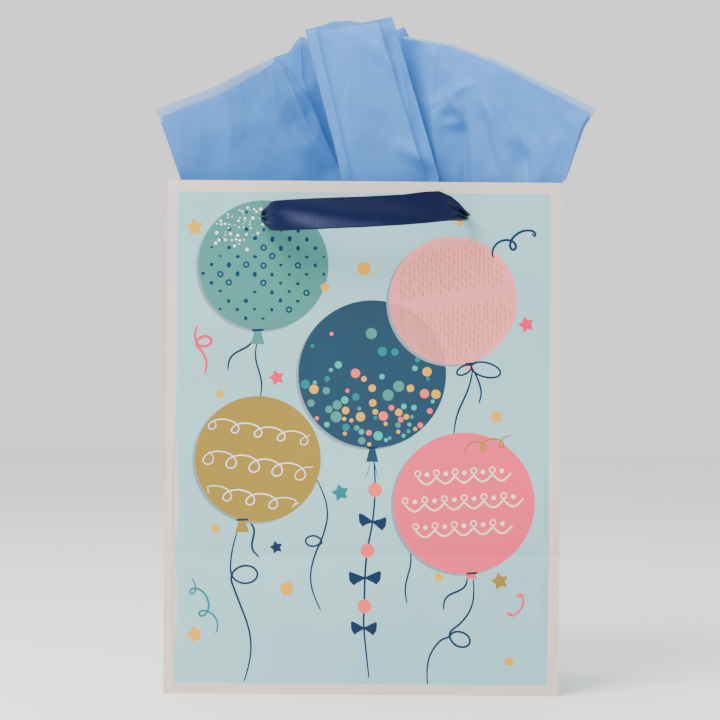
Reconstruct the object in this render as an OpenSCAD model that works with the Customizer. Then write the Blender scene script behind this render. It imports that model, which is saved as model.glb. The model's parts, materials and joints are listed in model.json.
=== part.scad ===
// Open paper gift bag with ribbon handles and tissue paper.
// Origin: middle of the base, on the surface that the bag stands on.
// X runs across the front, +Y to the back, +Z up.

/* [Bag] */
// Width of the front panel
bag_w = 254; // [150:1:400]
// Depth from the front panel to the back panel
bag_d = 127; // [90:1:200]
// Height of the bag up to its rim
bag_h = 330; // [220:1:480]
// Thickness of the printed paper
paper_t = 0.3; // [0.2:0.05:0.5]
// How far the side crease is tucked in at the rim
gusset_in = 10; // [4:1:20]
// Height of the top hem that is folded to the inside
hem_h = 40; // [30:1:60]
// Width of the glued strip at each back corner
tab_w = 18; // [10:1:25]
// Reach of the long bottom flaps from the fold
long_flap = 80; // [70:1:88]
// Reach of the side bottom flaps from the fold
side_flap = 60; // [30:1:70]

/* [Cards] */
// Thickness of the card inside each hem
cuff_t = 1; // [0.5:0.1:2]
// Thickness of the loose base card
base_t = 1.5; // [0.8:0.1:3]
// Clearance between a card and the folds round it
card_gap = 1.2; // [0.5:0.1:3]

/* [Ribbon handles] */
// Distance between the two holes of a handle
hole_spacing = 130; // [80:1:180]
// Distance from the rim down to the holes
hole_drop = 22; // [15:1:28]
// Diameter of the punched holes
hole_dia = 6; // [5:0.5:8]
// Width of the ribbon
ribbon_w = 19.5; // [10:0.5:25]
// Thickness of the ribbon
ribbon_t = 0.6; // [0.4:0.1:1]
// How far the ribbon bows out in front of its panel
ribbon_bow = 32; // [26:1:60]
// Diameter of the bunched ribbon in the hole
neck_dia = 4.8; // [3:0.1:5]
// Diameter of the knot behind the hem
knot_dia = 11; // [9:0.5:16]

/* [Tissue paper] */
// Thickness of a folded tissue sheet
tissue_t = 1; // [0.6:0.1:2]
// Height of the tissue above the rim at the middle
tissue_rise = 114; // [60:1:160]
// Angle between the outer tissue sheets and the front panel
tissue_fan = 20; // [8:1:24]
// Clearance between the tissue and the side folds
tissue_gap = 3; // [2:0.5:8]

/* [Hidden] */

paper_blue = "#b4c8cc";
card_grey = "#b9b2a6";
ribbon_navy = "#1c2c63";
tissue_blue = "#8fb4dc";

half_w = bag_w / 2;
half_d = bag_d / 2;
hole_z = bag_h - hole_drop;
crease_foot = half_d;                  // the side crease starts half the depth up
hem_y = -half_d + paper_t + cuff_t;    // inner layer of the front hem
hem_side_in = gusset_in * (2 * paper_t + cuff_t) / half_d;  // slope of the other side there
floor_z = 3 * paper_t;                 // three layers of bottom flaps
base_top = floor_z + base_t;
seat_gap = 0.3;                        // clearance between pieces on different bodies
knot_seat = 0.1;                       // clearance of a knot behind its hem

// Ribbon: the hinge line lies a little in front of the panel
hinge_out = 3;
hinge_y = half_d + hinge_out;
bow_reach = ribbon_bow - hinge_out;
bow_power = 0.8;                       // rounds the plan of the loop off
end_taper = 7.2;                       // length over which the ribbon fans out of its hole
end_start = 0.35;
ribbon_rings = 28;
start_angle = asin(pow((neck_dia / 2 + seat_gap) / bow_reach, 1 / bow_power));

// Tissue
tissue_foot = base_top + seat_gap;
centre_front_y = -30;
back_y = 4;
fan_pivot_y = -8;

// A printed sheet: one long panel with its hem, one side with its crease, the glued strip
// that reaches round to the other sheet, and two bottom flaps.
module printed_sheet(flap_layer) {
    difference() {
        union() {
            front_panel();
            hem();
        }
        handle_holes();
    }
    side_panel();
    glue_tab();
    bottom_flaps(flap_layer);
}

module front_panel() {
    translate([-half_w, -half_d, 0]) cube([bag_w, paper_t, bag_h]);
}

module hem() {
    hem_w = bag_w - 2 * paper_t - hem_side_in;
    translate([half_w - paper_t - hem_w, -half_d, bag_h - paper_t])
        cube([hem_w, 2 * paper_t + cuff_t, paper_t]);
    translate([half_w - paper_t - hem_w, hem_y, bag_h - hem_h])
        cube([hem_w, paper_t, hem_h]);
}

module handle_holes() {
    for (side = [-1, 1])
        translate([side * hole_spacing / 2, -half_d - 1, hole_z])
            rotate([-90, 0, 0])
                cylinder(d = hole_dia, h = 2 * paper_t + cuff_t + 2, $fn = 48);
}

// The side is flat up to the crease's foot, and tucks in from there to the rim
module side_panel() {
    far_y = half_d - paper_t;
    outline = [[-half_d, 0, 0], [far_y, 0, 0], [far_y, bag_h, 0],
               [0, bag_h, gusset_in], [-half_d, bag_h, 0], [0, crease_foot, 0]];
    outer = [for (p = outline) [half_w - p[2], p[0], p[1]]];
    inner = [for (p = outer) p - [paper_t, 0, 0]];
    faces_out = [[0, 1, 5], [1, 2, 5], [2, 3, 5], [3, 4, 5], [4, 0, 5]];
    polyhedron(
        points = concat(outer, inner),
        faces = concat(
            [for (f = faces_out) [f[2], f[1], f[0]]],
            [for (f = faces_out) [f[0] + 6, f[1] + 6, f[2] + 6]],
            [for (i = [0:4]) [i, (i + 1) % 5, (i + 1) % 5 + 6, i + 6]]));
}

module glue_tab() {
    translate([half_w - tab_w, half_d - 2 * paper_t, 2 * paper_t])
        cube([tab_w, paper_t, bag_h - hem_h - card_gap - 2 * paper_t]);
}

module bottom_flaps(layer) {
    translate([-half_w + paper_t, -half_d, layer * paper_t])
        cube([bag_w - 2 * paper_t, long_flap, paper_t]);
    translate([0, 0, 2 * paper_t])
        linear_extrude(paper_t)
            polygon([[half_w, -half_d + paper_t], [half_w, half_d - paper_t],
                     [half_w - side_flap, half_d - side_flap / 2],
                     [half_w - side_flap, -half_d + side_flap / 2]]);
}

module front_sheet() {
    color(paper_blue) printed_sheet(1);
}

module back_sheet() {
    color(paper_blue) rotate(180) printed_sheet(0);
}

// Card strip between the front panel and its hem, punched with it
module cuff_card() {
    difference() {
        translate([-half_w + card_gap, -half_d + paper_t, bag_h - hem_h + card_gap])
            cube([bag_w - 2 * card_gap, cuff_t, hem_h - card_gap - paper_t]);
        handle_holes();
    }
}

module front_cuff_card() {
    color(card_grey) cuff_card();
}

module back_cuff_card() {
    color(card_grey) rotate(180) cuff_card();
}

module base_card() {
    color(card_grey)
        translate([-half_w + card_gap, -half_d + card_gap, floor_z])
            cube([bag_w - 2 * card_gap, bag_d - 2 * card_gap, base_t]);
}

// Plan of the ribbon loop: x across, y out of the panel, by the angle along the loop
function loop_point(angle) = [
    hole_spacing / 2 * sign(cos(angle)) * pow(abs(cos(angle)), bow_power),
    -hinge_y - bow_reach * pow(abs(sin(angle)), bow_power)];

function ring_angle(i) = start_angle + (180 - 2 * start_angle) * i / ribbon_rings;

function ribbon_half(x) =
    let (from_end = min(end_taper, hole_spacing / 2 - abs(x) + end_start))
    ribbon_w / 2 * sqrt(1 - pow(1 - from_end / end_taper, 2));

// Four corners of the ribbon's cross-section, square to the loop
function ribbon_ring(i) =
    let (p = loop_point(ring_angle(i)),
         a = loop_point(ring_angle(max(0, i - 1))),
         b = loop_point(ring_angle(min(ribbon_rings, i + 1))),
         n = [-(b - a)[1], (b - a)[0]] / norm(b - a) * ribbon_t / 2,
         h = ribbon_half(p[0]))
    [for (c = [[1, 1], [1, -1], [-1, -1], [-1, 1]])
        [p[0] + c[0] * n[0], p[1] + c[0] * n[1], hole_z + c[1] * h]];

module ribbon_band() {
    last = 4 * ribbon_rings;
    polyhedron(
        points = [for (i = [0:ribbon_rings]) each ribbon_ring(i)],
        faces = concat(
            [[0, 1, 2, 3], [last + 3, last + 2, last + 1, last]],
            [for (i = [0:ribbon_rings - 1], k = [0:3])
                let (a = 4 * i + k, b = 4 * i + (k + 1) % 4)
                [a, a + 4, b + 4, b]]));
}

module front_ribbon() {
    color(ribbon_navy) ribbon_band();
}

module back_ribbon() {
    color(ribbon_navy) rotate(180) ribbon_band();
}

// Bunched ribbon through each hole, with its knot behind the hem
module ribbon_ends() {
    knot_y = hem_y + paper_t + knot_seat + knot_dia / 2;
    for (side = [-1, 1])
        translate([side * hole_spacing / 2, 0, hole_z]) {
            translate([0, knot_y, 0]) sphere(d = knot_dia, $fn = 40);
            translate([0, -hinge_y, 0])
                rotate([-90, 0, 0]) cylinder(d = neck_dia, h = hinge_y + knot_y, $fn = 40);
            translate([0, -hinge_y, 0]) sphere(d = neck_dia, $fn = 40);
        }
}

module front_ribbon_ends() {
    color(ribbon_navy) ribbon_ends();
}

module back_ribbon_ends() {
    color(ribbon_navy) rotate(180) ribbon_ends();
}

// A tissue sheet stands upright: its outline runs across and up, and it is tissue_t thick
module tissue_sheet(outline) {
    rotate([90, 0, 0])
        translate([0, 0, -tissue_t / 2])
            linear_extrude(tissue_t) polygon(outline);
}

// Half width that an outer sheet can have inside the bag
tissue_in = half_w - tissue_gap;
tissue_low = tissue_in - gusset_in;
back_half = tissue_low - 5;

module tissue_left() {
    color(tissue_blue)
        translate([0, fan_pivot_y, 0]) rotate(tissue_fan)
            tissue_sheet([[-18, tissue_foot], [-tissue_low, tissue_foot],
                          [-tissue_in, bag_h - 2], [-tissue_in - 18, bag_h + 46],
                          [-66, bag_h + tissue_rise * 0.74], [-44, bag_h + tissue_rise * 0.85],
                          [-18, bag_h + 5]]);
}

module tissue_right() {
    color(tissue_blue)
        translate([0, fan_pivot_y, 0]) rotate(-tissue_fan)
            tissue_sheet([[20, tissue_foot], [tissue_low, tissue_foot],
                          [tissue_in, bag_h - 2], [tissue_in + 16, bag_h + 30],
                          [tissue_in + 30, bag_h + 48], [100, bag_h + tissue_rise * 0.66],
                          [50, bag_h + tissue_rise * 0.82], [24, bag_h + tissue_rise * 0.86]]);
}

module tissue_centre_front() {
    color(tissue_blue)
        translate([0, centre_front_y, 0])
            tissue_sheet([[-12, tissue_foot], [46, tissue_foot], [49, bag_h],
                          [17, bag_h + tissue_rise], [-25, bag_h + tissue_rise - 3],
                          [-41, bag_h + tissue_rise - 8], [-16, bag_h]]);
}

module tissue_back() {
    color(tissue_blue)
        translate([0, back_y, 0])
            tissue_sheet([[-95, tissue_foot], [95, tissue_foot],
                          [back_half, bag_h], [back_half + 6, bag_h + tissue_rise * 0.45],
                          [60, bag_h + tissue_rise * 0.7], [24, bag_h + tissue_rise - 7],
                          [-44, bag_h + tissue_rise - 13], [-72, bag_h + tissue_rise * 0.66],
                          [-back_half - 6, bag_h + tissue_rise * 0.4], [-back_half, bag_h]]);
}

front_sheet();
back_sheet();
front_cuff_card();
back_cuff_card();
base_card();
front_ribbon();
back_ribbon();
front_ribbon_ends();
back_ribbon_ends();
tissue_left();
tissue_right();
tissue_centre_front();
tissue_back();
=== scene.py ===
import json
import math
import random

import bpy
import bmesh
import mathutils
import numpy as np
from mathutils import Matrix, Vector


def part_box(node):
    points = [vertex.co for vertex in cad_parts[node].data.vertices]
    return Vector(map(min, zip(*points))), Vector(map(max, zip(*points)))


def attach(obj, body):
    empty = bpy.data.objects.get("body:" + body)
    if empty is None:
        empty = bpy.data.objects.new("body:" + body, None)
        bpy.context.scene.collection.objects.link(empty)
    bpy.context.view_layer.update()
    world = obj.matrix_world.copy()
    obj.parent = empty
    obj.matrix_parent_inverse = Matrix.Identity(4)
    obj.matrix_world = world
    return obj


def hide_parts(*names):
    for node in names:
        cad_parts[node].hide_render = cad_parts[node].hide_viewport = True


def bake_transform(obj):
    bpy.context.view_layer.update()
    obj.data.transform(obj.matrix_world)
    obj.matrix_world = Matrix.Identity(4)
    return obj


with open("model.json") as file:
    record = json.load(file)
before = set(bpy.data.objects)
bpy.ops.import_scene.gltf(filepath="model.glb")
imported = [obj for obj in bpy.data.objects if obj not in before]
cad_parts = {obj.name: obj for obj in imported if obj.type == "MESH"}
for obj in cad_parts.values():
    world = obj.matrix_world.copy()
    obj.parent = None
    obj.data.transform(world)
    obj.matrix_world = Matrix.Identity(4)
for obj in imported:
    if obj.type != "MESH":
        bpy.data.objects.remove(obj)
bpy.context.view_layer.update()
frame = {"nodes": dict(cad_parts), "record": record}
mm = 0.001

# the bag's own sizes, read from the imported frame
sheetLow, sheetHigh = [np.array(c, float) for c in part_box("front_sheet")]
joints = {j["name"]: j for j in frame["record"]["behaviour"]["joints"]}
bag = {
    "halfWidth": (sheetHigh[0] - sheetLow[0]) / 2,
    "halfDepth": -sheetLow[1],
    "height": sheetHigh[2],
    "paper": 0.3 * mm,
    "tuck": 10 * mm,         # how far the side crease goes in at the rim
    "hem": 40 * mm,
    "hemGap": 1.5 * mm,      # panel, card and hem
    "border": 7 * mm,        # unprinted edge round the artwork
    "crease": 90 * mm,       # fold line across the panels
    "creaseDepth": 3.0 * mm,
    "faintCrease": 186 * mm,
    "bulge": 1.6 * mm,
    "glueStrip": 18 * mm,
    "longFlap": 79 * mm,
    "sideFlap": 59 * mm,
}
halfWidth, halfDepth, rimHeight = bag["halfWidth"], bag["halfDepth"], bag["height"]


# camera first: straight on, a little to the left, leaning by half a degree
view = {"distance": 1.5, "height": 0.2154, "side": -0.0021, "lens": 116.6, "lean": 0.47}
camera = bpy.data.objects.new("camera", bpy.data.cameras.new("camera"))
camera.data.lens = view["lens"]
camera.data.sensor_width = 36
camera.location = (view["side"], -halfDepth - view["distance"], view["height"])
camera.rotation_euler = (math.radians(90), math.radians(-view["lean"]), 0)
bpy.context.collection.objects.link(camera)
bpy.context.scene.camera = camera
print("camera set")


# materials

def rgb(code):
    # hex colour as seen, to the linear colour that nodes take
    parts = [int(code[i:i + 2], 16) / 255 for i in (1, 3, 5)]
    return tuple(c / 12.92 if c <= 0.04045 else ((c + 0.055) / 1.055) ** 2.4 for c in parts) + (1,)


def newGroup(name, inputs, outputs):
    group = bpy.data.node_groups.new(name, "ShaderNodeTree")
    for label, kind, value in inputs:
        socket = group.interface.new_socket(name=label, in_out="INPUT", socket_type=kind)
        socket.default_value = value
    for label, kind in outputs:
        group.interface.new_socket(name=label, in_out="OUTPUT", socket_type=kind)
    return group, group.nodes.new("NodeGroupInput"), group.nodes.new("NodeGroupOutput")


def mathNode(tree, operation, a, b=None, clamp=False):
    node = tree.nodes.new("ShaderNodeMath")
    node.operation = operation
    node.use_clamp = clamp
    for socket, value in zip(node.inputs, (a, b)):
        if value is None:
            continue
        if isinstance(value, (int, float)):
            socket.default_value = value
        else:
            tree.links.new(value, socket)
    return node.outputs[0]


def noiseNode(tree, vector, scale, detail=3.0, rough=0.55):
    node = tree.nodes.new("ShaderNodeTexNoise")
    node.inputs["Detail"].default_value = detail
    node.inputs["Roughness"].default_value = rough
    if isinstance(scale, (int, float)):
        node.inputs["Scale"].default_value = scale
    else:
        tree.links.new(scale, node.inputs["Scale"])
    tree.links.new(vector, node.inputs["Vector"])
    return node.outputs["Fac"]


def makePaperGrain():
    # felt-like paper surface: a broad tone, a fine fibre height and a roughness value
    group, given, out = newGroup(
        "paperGrain",
        [("Vector", "NodeSocketVector", (0, 0, 0)), ("Fineness", "NodeSocketFloat", 900.0),
         ("Gloss", "NodeSocketFloat", 0.5)],
        [("Tone", "NodeSocketFloat"), ("Height", "NodeSocketFloat"), ("Roughness", "NodeSocketFloat")])
    broad = noiseNode(group, given.outputs["Vector"], 9.0, 2.0)
    fine = noiseNode(group, given.outputs["Vector"], given.outputs["Fineness"], 4.0, 0.7)
    cloud = noiseNode(group, given.outputs["Vector"], 60.0, 3.0)
    group.links.new(broad, out.inputs["Tone"])
    height = mathNode(group, "ADD", fine, mathNode(group, "MULTIPLY", cloud, 0.8))
    group.links.new(height, out.inputs["Height"])
    spread = mathNode(group, "MULTIPLY", mathNode(group, "SUBTRACT", cloud, 0.5), 0.25)
    group.links.new(mathNode(group, "ADD", spread, given.outputs["Gloss"], True), out.inputs["Roughness"])
    return group


def makeSatinWeave():
    # fine ribs across the ribbon and long floats along it, from the ribbon's own UVs
    group, given, out = newGroup(
        "satinWeave",
        [("Vector", "NodeSocketVector", (0, 0, 0)), ("Ribs", "NodeSocketFloat", 420.0)],
        [("Height", "NodeSocketFloat"), ("Tone", "NodeSocketFloat"), ("Edge", "NodeSocketFloat")])
    split = group.nodes.new("ShaderNodeSeparateXYZ")
    group.links.new(given.outputs["Vector"], split.inputs[0])
    ribs = mathNode(group, "SINE", mathNode(group, "MULTIPLY", split.outputs["X"], given.outputs["Ribs"]))
    stretch = group.nodes.new("ShaderNodeMapping")
    stretch.inputs["Scale"].default_value = (6, 220, 1)
    group.links.new(given.outputs["Vector"], stretch.inputs["Vector"])
    floats = noiseNode(group, stretch.outputs[0], 1.0, 2.0)
    middle = mathNode(group, "ABSOLUTE", mathNode(group, "SUBTRACT", split.outputs["Y"], 0.5))
    edge = mathNode(group, "GREATER_THAN", middle, 0.465)
    height = mathNode(group, "ADD", mathNode(group, "MULTIPLY", ribs, 0.25), floats)
    group.links.new(height, out.inputs["Height"])
    group.links.new(floats, out.inputs["Tone"])
    group.links.new(edge, out.inputs["Edge"])
    return group


def makeTissueFibre():
    # crinkled thin tissue: cloudy fibres for tone, small sharp creases for height
    group, given, out = newGroup(
        "tissueFibre",
        [("Vector", "NodeSocketVector", (0, 0, 0)), ("Crinkle", "NodeSocketFloat", 22.0)],
        [("Tone", "NodeSocketFloat"), ("Height", "NodeSocketFloat")])
    cloud = noiseNode(group, given.outputs["Vector"], 35.0, 6.0, 0.65)
    cells = group.nodes.new("ShaderNodeTexVoronoi")
    cells.feature = "DISTANCE_TO_EDGE"
    group.links.new(given.outputs["Vector"], cells.inputs["Vector"])
    group.links.new(given.outputs["Crinkle"], cells.inputs["Scale"])
    crease = mathNode(group, "MINIMUM", cells.outputs["Distance"], 0.12)
    fine = noiseNode(group, given.outputs["Vector"], 700.0, 3.0)
    group.links.new(cloud, out.inputs["Tone"])
    height = mathNode(group, "ADD", mathNode(group, "MULTIPLY", crease, 3.0),
                      mathNode(group, "MULTIPLY", fine, 0.12))
    group.links.new(mathNode(group, "ADD", height, mathNode(group, "MULTIPLY", cloud, 0.8)),
                    out.inputs["Height"])
    return group


groups = {"grain": makePaperGrain(), "weave": makeSatinWeave(), "tissue": makeTissueFibre()}


def startMaterial(name, groupName, coordinate="Object"):
    material = bpy.data.materials.new(name)
    material.use_nodes = True
    tree = material.node_tree
    shader = tree.nodes["Principled BSDF"]
    where = tree.nodes.new("ShaderNodeTexCoord")
    group = tree.nodes.new("ShaderNodeGroup")
    group.node_tree = groups[groupName]
    tree.links.new(where.outputs[coordinate], group.inputs["Vector"])
    return material, tree, shader, group, where


def mixColours(tree, factor, first, second, blend="MIX"):
    node = tree.nodes.new("ShaderNodeMix")
    node.data_type = "RGBA"
    node.blend_type = blend
    for socket, value in ((node.inputs[0], factor), (node.inputs[6], first), (node.inputs[7], second)):
        if isinstance(value, (int, float, tuple)):
            socket.default_value = value
        else:
            tree.links.new(value, socket)
    return node.outputs[2]


def addBump(tree, shader, height, strength, distance):
    bump = tree.nodes.new("ShaderNodeBump")
    bump.inputs["Strength"].default_value = strength
    bump.inputs["Distance"].default_value = distance
    tree.links.new(height, bump.inputs["Height"])
    tree.links.new(bump.outputs[0], shader.inputs["Normal"])


def scaledTone(tree, tone, low, high):
    # a tone from 0.3 to 0.7 spread over low to high
    node = tree.nodes.new("ShaderNodeMapRange")
    node.inputs["From Min"].default_value = 0.3
    node.inputs["From Max"].default_value = 0.7
    node.inputs["To Min"].default_value = low
    node.inputs["To Max"].default_value = high
    tree.links.new(tone, node.inputs["Value"])
    return node.outputs[0]


def inkMaterial(name, colour, shade=0.90, gloss=0.42):
    material, tree, shader, group, _ = startMaterial(name, "grain")
    group.inputs["Gloss"].default_value = gloss
    base = rgb(colour)
    deep = tuple(c * shade for c in base[:3]) + (1,)
    tree.links.new(mixColours(tree, scaledTone(tree, group.outputs["Tone"], 0, 1), base, deep),
                   shader.inputs["Base Color"])
    tree.links.new(group.outputs["Roughness"], shader.inputs["Roughness"])
    shader.inputs["Specular IOR Level"].default_value = 0.2
    addBump(tree, shader, group.outputs["Height"], 0.10, 0.0002)
    return material


def fieldMaterial():
    # pale field with tone-on-tone specks, denser in patches
    material, tree, shader, group, where = startMaterial("fieldInk", "grain")
    field = mixColours(tree, scaledTone(tree, group.outputs["Tone"], 0, 1), rgb("#92c2c5"), rgb("#88b6ba"))
    cells = tree.nodes.new("ShaderNodeTexVoronoi")
    cells.inputs["Scale"].default_value = 85
    tree.links.new(where.outputs["Object"], cells.inputs["Vector"])
    speck = mathNode(tree, "LESS_THAN", cells.outputs["Distance"], 0.13)
    some = mathNode(tree, "GREATER_THAN", noiseNode(tree, where.outputs["Object"], 14.0, 1.0), 0.52)
    share = mathNode(tree, "MULTIPLY", mathNode(tree, "MULTIPLY", speck, some), 0.45)
    tree.links.new(mixColours(tree, share, field, rgb("#7fa3b2")), shader.inputs["Base Color"])
    tree.links.new(group.outputs["Roughness"], shader.inputs["Roughness"])
    shader.inputs["Specular IOR Level"].default_value = 0.2
    addBump(tree, shader, group.outputs["Height"], 0.12, 0.0002)
    return material


def satinMaterial():
    material, tree, shader, group, _ = startMaterial("navySatin", "weave", "UV")
    body = mixColours(tree, scaledTone(tree, group.outputs["Tone"], 0, 1), rgb("#030e34"), rgb("#020929"))
    colour = mixColours(tree, group.outputs["Edge"], body, rgb("#060d28"))
    tree.links.new(colour, shader.inputs["Base Color"])
    shader.inputs["Roughness"].default_value = 0.32
    shader.inputs["Sheen Weight"].default_value = 0.05
    shader.inputs["Sheen Roughness"].default_value = 0.35
    shader.inputs["Sheen Tint"].default_value = rgb("#7d8fd0")
    shader.inputs["Specular IOR Level"].default_value = 0.34
    shader.inputs["Specular Tint"].default_value = rgb("#a9b2dc")
    addBump(tree, shader, group.outputs["Height"], 0.22, 0.0002)
    return material


def tissueMaterial(name, light, deep, opacity):
    material, tree, shader, group, _ = startMaterial(name, "tissue")
    tree.links.new(mixColours(tree, scaledTone(tree, group.outputs["Tone"], 0, 1), rgb(light), rgb(deep)),
                   shader.inputs["Base Color"])
    tree.links.new(scaledTone(tree, group.outputs["Tone"], opacity - 0.04, opacity + 0.04),
                   shader.inputs["Alpha"])
    shader.inputs["Roughness"].default_value = 0.62
    shader.inputs["Sheen Weight"].default_value = 0.15
    addBump(tree, shader, group.outputs["Height"], 0.35, 0.0007)
    return material


inks = {
    "border": inkMaterial("borderPaper", "#d2c3b8", 0.94, 0.5),
    "field": fieldMaterial(),
    "teal": inkMaterial("tealInk", "#3f7e76"),
    "navy": inkMaterial("navyInk", "#19394e"),
    "blush": inkMaterial("blushInk", "#f18889"),
    "gold": inkMaterial("goldInk", "#907529"),
    "blushDeep": inkMaterial("blushDeepInk", "#d67b7f"),
    "coral": inkMaterial("coralInk", "#ee4666"),
    "line": inkMaterial("lineInk", "#022345"),
    "dot": inkMaterial("dotInk", "#022e4d"),
    "white": inkMaterial("whiteInk", "#f1f1f1"),
    "mist": inkMaterial("mistInk", "#f1ebbb"),
    "aqua": inkMaterial("aquaInk", "#026e75"),
    "mint": inkMaterial("mintInk", "#14a596"),
    "sand": inkMaterial("sandInk", "#d99f21"),
    "peach": inkMaterial("peachInk", "#f15954"),
    "rose": inkMaterial("roseInk", "#e61d4f"),
    "shadow": inkMaterial("shadowInk", "#738a91"),
    "thread": inkMaterial("threadInk", "#b48737"),
}
inkOrder = list(inks)
plainPaper = inkMaterial("plainPaper", "#dcdad5", 0.95, 0.6)
greyCard = inkMaterial("greyCard", "#a39c90", 0.86, 0.75)
satin = satinMaterial()
tissueBlue = tissueMaterial("tissueBlue", "#3d88d6", "#337acb", 0.80)
# the same tissue painted paler and more see-through: painted light showing through a single sheet
tissuePaintedBacklight = tissueMaterial("tissuePaintedBacklight", "#86aedd", "#7aa3d6", 0.72)
print("materials made")


# mesh helpers

def makeObject(name, vertices, faces, materials, materialIndex=None, smooth=True):
    mesh = bpy.data.meshes.new(name)
    mesh.from_pydata([tuple(v) for v in vertices], [], faces)
    for material in materials:
        mesh.materials.append(material)
    if materialIndex is not None:
        mesh.polygons.foreach_set("material_index", materialIndex)
    mesh.polygons.foreach_set("use_smooth", [smooth] * len(mesh.polygons))
    mesh.validate()
    piece = bpy.data.objects.new(name, mesh)
    bpy.context.collection.objects.link(piece)
    return piece


def thicken(piece, thickness, offset=-1.0, materialShift=0):
    solid = piece.modifiers.new("thickness", "SOLIDIFY")
    solid.thickness = thickness
    solid.offset = offset
    solid.use_even_offset = False
    solid.material_offset = materialShift
    solid.material_offset_rim = materialShift
    return solid


def gridFaces(rows, columns, start=0, flip=False):
    faces = []
    for i in range(rows - 1):
        for j in range(columns - 1):
            a = start + i * columns + j
            quad = (a, a + 1, a + columns + 1, a + columns)
            faces.append(quad[::-1] if flip else quad)
    return faces


def wave(x, z, seed):
    # smooth, repeatable unevenness between about -1 and 1
    total = 0
    for k, (fx, fz) in enumerate(((23, 17), (41, 29), (13, 47), (67, 11))):
        total += math.sin(fx * x + 1.7 * seed + k) * math.sin(fz * z + 2.3 * seed + 2 * k)
    return total / 2.2


# printed artwork: flat outlines in millimetres, cut into the sheet's own faces

class Artwork:
    def __init__(self):
        self.shapes = []

    def fan(self, outline, ink, level):
        area = sum(a[0] * b[1] - b[0] * a[1] for a, b in zip(outline, outline[1:] + outline[:1]))
        self.shapes.append((outline if area > 0 else outline[::-1], ink, level))

    def disc(self, x, z, radius, ink, level, squash=1.0):
        sides = max(12, int(10 + radius * 1.9))
        turns = [2 * math.pi * i / sides for i in range(sides)]
        self.fan([(x + radius * math.cos(a), z + radius * squash * math.sin(a)) for a in turns], ink, level)

    def ring(self, x, z, radius, width, ink, level, under):
        self.disc(x, z, radius + width / 2, ink, level)
        self.disc(x, z, radius - width / 2, under, level + 0.1)

    def star(self, x, z, radius, ink, level, turn=0.0):
        def tip(i):
            r = radius if i % 2 == 0 else radius * 0.55
            a = math.radians(turn + 36 * i)
            return (x + r * math.sin(a), z + r * math.cos(a))
        for i in range(0, 10, 2):
            self.fan([(x, z), tip(i - 1), tip(i), tip(i + 1)], ink, level)

    def line(self, route, width, ink, level, taper=True):
        path = smoothRoute(route)
        left, right = [], []
        for i, (x, z) in enumerate(path):
            ax, az = path[max(0, i - 1)]
            bx, bz = path[min(len(path) - 1, i + 1)]
            long = math.hypot(bx - ax, bz - az) or 1
            half = width / 2
            if taper:
                # the last sine can come out a hair below zero
                half *= 0.45 + 0.55 * max(0.0, math.sin(math.pi * i / (len(path) - 1))) ** 0.4
            nx, nz = -(bz - az) / long * half, (bx - ax) / long * half
            left.append((x + nx, z + nz))
            right.append((x - nx, z - nz))
        for i in range(len(path) - 1):
            self.fan([left[i], left[i + 1], right[i + 1], right[i]], ink, level)


def smoothRoute(route, step=1.5):
    # a smooth curve through a few chosen points
    points = [route[0]] + list(route) + [route[-1]]
    path = []
    for k in range(1, len(points) - 2):
        a, b, c, d = (np.array(p, float) for p in points[k - 1:k + 3])
        count = max(2, int(np.linalg.norm(c - b) / step))
        for i in range(count):
            t = i / count
            p = 0.5 * (2 * b + (c - a) * t + (2 * a - 5 * b + 4 * c - d) * t ** 2
                       + (3 * b - a - 3 * c + d) * t ** 3)
            path.append(tuple(p))
    path.append(tuple(route[-1]))
    return path


def curlRoute(start, end, loops, size, phase=0.0, sway=0.0):
    # a streamer from start to end that turns round on itself a few times on the way
    start, end = np.array(start, float), np.array(end, float)
    along = (end - start) / np.linalg.norm(end - start)
    across = np.array((-along[1], along[0]))
    count = int(14 * loops + 8)
    route = []
    for i in range(count + 1):
        t = i / count
        turn = 2 * math.pi * loops * t + phase
        fade = min(1.0, 0.45 + 3.0 * min(t, 1 - t))
        p = start + (end - start) * t + sway * math.sin(2 * math.pi * t) * across
        p = p + size * fade * (math.sin(turn) * along * 1.15 + math.cos(turn) * across)
        route.append(tuple(p))
    return route


def stringRoute(start, end, sway, loopAt=0, size=0):
    # a hanging string that sways once and may cross itself in one open loop
    start, end = np.array(start, float), np.array(end, float)
    along = (end - start) / np.linalg.norm(end - start)
    across = np.array((-along[1], along[0]))

    def base(t):
        return start + (end - start) * t + sway * math.sin(2 * math.pi * t) * across
    route = [tuple(base(i / 10)) for i in range(11) if not loopAt or i / 10 < loopAt]
    if loopAt:
        middle = base(loopAt)
        for i in range(9):
            turn = 2 * math.pi * (i / 8) - 0.5 * math.pi
            drift = along * size * 0.5 * (i / 8) * math.copysign(1, size)
            route.append(tuple(middle + drift + size * (1.0 + math.sin(turn)) * across * 0.95
                               + abs(size) * math.cos(turn) * along * 0.75))
        past = loopAt + 0.75 * abs(size) / np.linalg.norm(end - start)
        route += [tuple(base(i / 10)) for i in range(11) if i / 10 > past]
    return route


def lensOutline(first, second):
    # where one balloon shows through another
    outline = []
    for a, b in ((balloons[first], second), (balloons[second], first)):
        arc = []
        steps = 180
        for i in range(2 * steps):
            turn = 2 * math.pi * i / steps
            x = a["at"][0] + a["radius"] * math.cos(turn)
            z = a["at"][1] + a["radius"] * math.sin(turn)
            if inBalloon(b, x, z, 0.05):
                arc.append((x, z))
            elif len(arc) > 2 and i > steps // 2:
                break
            else:
                arc = []
        outline += arc
    return outline


balloons = {
    "teal": {"at": (-64.7, 275.8), "radius": 41.8, "level": 1},
    "navy": {"at": (5.9, 206.4), "radius": 47.5, "level": 2},
    "blush": {"at": (57.4, 254.1), "radius": 41.2, "level": 5},
    "gold": {"at": (-67.2, 151.2), "radius": 40.5, "level": 2},
    "coral": {"at": (65.6, 123.8), "radius": 45.5, "level": 3},
}


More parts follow.
